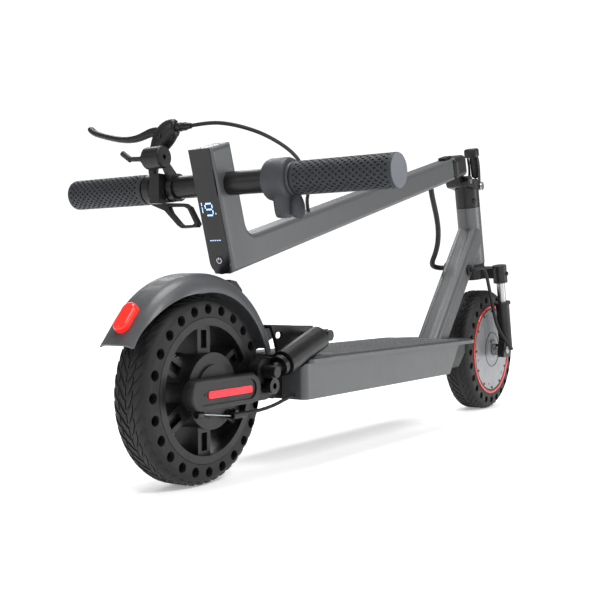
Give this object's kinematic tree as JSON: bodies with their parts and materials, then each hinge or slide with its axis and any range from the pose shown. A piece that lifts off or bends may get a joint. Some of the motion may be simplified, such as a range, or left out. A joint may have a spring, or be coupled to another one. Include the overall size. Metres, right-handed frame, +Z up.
{
  "type": "folding electric kick scooter",
  "caption": "Folding electric kick scooter, stored folded: stem laid back to a catch over the rear wheel, suspended fork and swingarm, hub motor in front, drum brake behind.",
  "frame": {"origin": "middle of the footprint, on the floor under the wheels", "axes": "+X towards the front wheel, +Y to the rider's left, +Z up"},
  "size_m": [1.051, 0.4786, 0.4823],
  "materials": {
    "grey_paint": "satin metallic grey",
    "black_metal": "satin black",
    "silver_metal": "satin",
    "aluminium_cast": "cast, dark",
    "steel": "machined",
    "grey_plastic": "fine grained",
    "plastic_black": "fine grained",
    "panel_gloss": "polished",
    "tyre_rubber": "matte",
    "grip_rubber": "textured",
    "black_rubber": "matte",
    "red_lens": "glossy lens",
    "red_reflector": "reflector",
    "lamp_lens": "clear lens"
  },
  "bodies": {
    "frame": {"deck_body": "grey_paint", "deck_grip_mat": "grip_rubber", "deck_bottom_cover": "black_metal", "battery_and_controller": "plastic_black", "deck_castings": "black_metal", "down_tube": "grey_paint", "head_tube": "grey_paint", "headset_bearings": "steel", "fender_bracket": "black_metal", "rear_fender": "grey_plastic", "tail_light": "red_lens", "fender_hook": "plastic_black", "shock_covers": "black_metal", "suspension_bolts": "steel", "cable_grommets": "black_rubber"},
    "port_cap": {"charge_port_cap": "black_rubber"},
    "side_stand": {"kickstand": "black_metal"},
    "swingarm": {"swingarms": "black_metal", "swingarm_covers": "plastic_black", "reflector_strips": "red_reflector", "rear_axle": "steel", "brake_plate": "aluminium_cast", "brake_shoes": "aluminium_cast", "rear_brake_cable": "black_rubber"},
    "drum_brake_arm": {"brake_arm": "steel"},
    "shock_rod": {"shock_rods": "steel", "shock_springs": "steel"},
    "rear_wheel": {"rear_tyre": "tyre_rubber", "rear_rim": "black_metal", "rear_bearings": "steel"},
    "steerer": {"fork_crown": "black_metal", "fork_stanchions": "steel", "hinge_base": "black_metal", "hinge_pins": "steel"},
    "clamp_lever": {"fold_lever": "black_metal"},
    "fork_lower": {"fork_lowers": "black_metal", "front_axle": "steel", "motor_stator": "steel", "motor_cable": "black_rubber", "fork_springs": "steel"},
    "front_wheel": {"front_tyre": "tyre_rubber", "motor_shell": "black_metal", "motor_covers": "silver_metal"},
    "stem": {"stem_tube": "grey_paint", "hinge_collar": "black_metal", "display_panel": "panel_gloss", "headlight": "lamp_lens", "handlebar": "black_metal", "grips": "grip_rubber", "throttle_body": "plastic_black", "brake_perch": "black_metal", "bell_body": "black_metal", "paddle_clamp": "plastic_black", "brake_cable": "black_rubber", "cable_bundle": "black_rubber"},
    "button": {"power_button": "panel_gloss"},
    "throttle": {"throttle_paddle": "plastic_black"},
    "hand_lever": {"brake_lever": "black_metal"},
    "striker": {"bell_striker": "plastic_black"},
    "thumb_loop": {"loop_paddle": "plastic_black"}
  },
  "joints": [
    {"name": "steering", "type": "hinge", "parent": "frame", "child": "steerer", "pos_m": [0.42551, 0, 0.108], "axis": [-0.2079, 0, 0.9781], "range_deg": [-35, 35], "deforming": ["cable_bundle", "motor_cable"]},
    {"name": "stem_fold", "type": "hinge", "parent": "steerer", "child": "stem", "pos_m": [0.33227, 0, 0.40717], "axis": [0, 1, 0], "range_deg": [0, 92.8], "deforming": ["cable_bundle"]},
    {"name": "fold_lever_turn", "type": "hinge", "parent": "steerer", "child": "clamp_lever", "pos_m": [0.39723, 0, 0.4046], "axis": [0, 1, 0], "range_deg": [0, 100]},
    {"name": "fork_slide", "type": "slide", "parent": "steerer", "child": "fork_lower", "axis": [-0.2079, 0, 0.9781], "range_m": [0, 0.018], "stiffness_N_per_m": 12000, "springref_m": -0.012, "deforming": ["fork_springs", "motor_cable"]},
    {"name": "front_wheel_spin", "type": "hinge", "parent": "fork_lower", "child": "front_wheel", "pos_m": [0.41751, 0, 0.108], "axis": [0, 1, 0], "continuous": true},
    {"name": "swingarm_pivot", "type": "hinge", "parent": "frame", "child": "swingarm", "pos_m": [-0.32049, 0, 0.108], "axis": [0, 1, 0], "range_deg": [0, 7.5], "stiffness_Nm_per_rad": 250, "springref_deg": -3.44, "deforming": ["rear_brake_cable", "shock_springs"]},
    {"name": "shock_slide", "type": "slide", "parent": "frame", "child": "shock_rod", "axis": [0.9483, 0, 0.3173], "range_m": [0, 0.004], "deforming": ["shock_springs"]},
    {"name": "rear_wheel_spin", "type": "hinge", "parent": "swingarm", "child": "rear_wheel", "pos_m": [-0.40049, 0, 0.108], "axis": [0, 1, 0], "continuous": true},
    {"name": "brake_arm_turn", "type": "hinge", "parent": "swingarm", "child": "drum_brake_arm", "pos_m": [-0.43149, 0, 0.111], "axis": [0, -1, 0], "range_deg": [0, 16], "stiffness_Nm_per_rad": 0.4, "springref_deg": -20.05, "deforming": ["rear_brake_cable"]},
    {"name": "brake_lever_pull", "type": "hinge", "parent": "stem", "child": "hand_lever", "pos_m": [-0.34749, 0.078, 0.408], "axis": [-1, 0, 0], "range_deg": [0, 22], "stiffness_Nm_per_rad": 1.5, "springref_deg": -11.46},
    {"name": "throttle_press", "type": "hinge", "parent": "stem", "child": "throttle", "pos_m": [-0.34645, 0, 0.3467], "axis": [0, -1, 0], "range_deg": [0, 35], "stiffness_Nm_per_rad": 0.4, "springref_deg": -17.19},
    {"name": "loop_press", "type": "hinge", "parent": "stem", "child": "thumb_loop", "pos_m": [-0.34645, 0, 0.3467], "axis": [0, -1, 0], "range_deg": [0, 25], "stiffness_Nm_per_rad": 0.4, "springref_deg": -17.19},
    {"name": "bell_flick", "type": "hinge", "parent": "stem", "child": "striker", "pos_m": [-0.37449, 0, 0.381], "axis": [0, 1, 0], "range_deg": [0, 20], "stiffness_Nm_per_rad": 0.2, "springref_deg": -17.19},
    {"name": "button_press", "type": "slide", "parent": "stem", "child": "button", "axis": [0.9573, 0, 0.289], "range_m": [0, 0.001], "stiffness_N_per_m": 800, "springref_m": -0.001},
    {"name": "kickstand_swing", "type": "hinge", "parent": "frame", "child": "side_stand", "pos_m": [-0.07049, 0.05, 0.0725], "axis": [0, -0.9397, -0.342], "range_deg": [0, 95]},
    {"name": "port_cap_lift", "type": "hinge", "parent": "frame", "child": "port_cap", "pos_m": [0.09951, 0.0738, 0.124], "axis": [1, 0, 0], "range_deg": [0, 110]}
  ],
  "couplings": [
    {"joint": "brake_arm_turn", "follows": "brake_lever_pull", "ratio": 0.7},
    {"joint": "shock_slide", "follows": "swingarm_pivot", "m_per_rad": 0.018}
  ]
}
